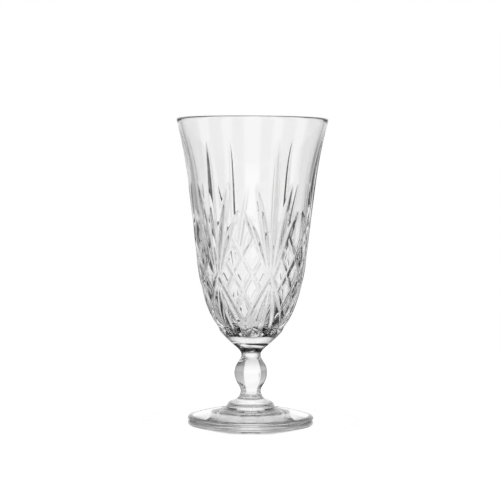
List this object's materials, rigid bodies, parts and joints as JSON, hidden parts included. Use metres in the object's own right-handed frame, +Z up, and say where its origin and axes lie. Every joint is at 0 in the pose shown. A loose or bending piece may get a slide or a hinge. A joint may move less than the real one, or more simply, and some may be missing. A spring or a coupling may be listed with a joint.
{
  "type": "water goblet",
  "caption": "Clear cut-crystal water goblet: flared bowl with fan and diamond cuts, a six-sided knopped stem and a stepped round foot.",
  "frame": {"origin": "centre of the ring that the foot stands on, at table height", "axes": "+Z up along the stem, -Y towards the viewer of the picture, +X to the viewer's right"},
  "size_m": [0.089, 0.089, 0.177],
  "materials": {
    "crystal": "clear pressed crystal, fire polished"
  },
  "bodies": {
    "root": {"bowl": "crystal", "stem": "crystal", "foot": "crystal"}
  },
  "joints": []
}
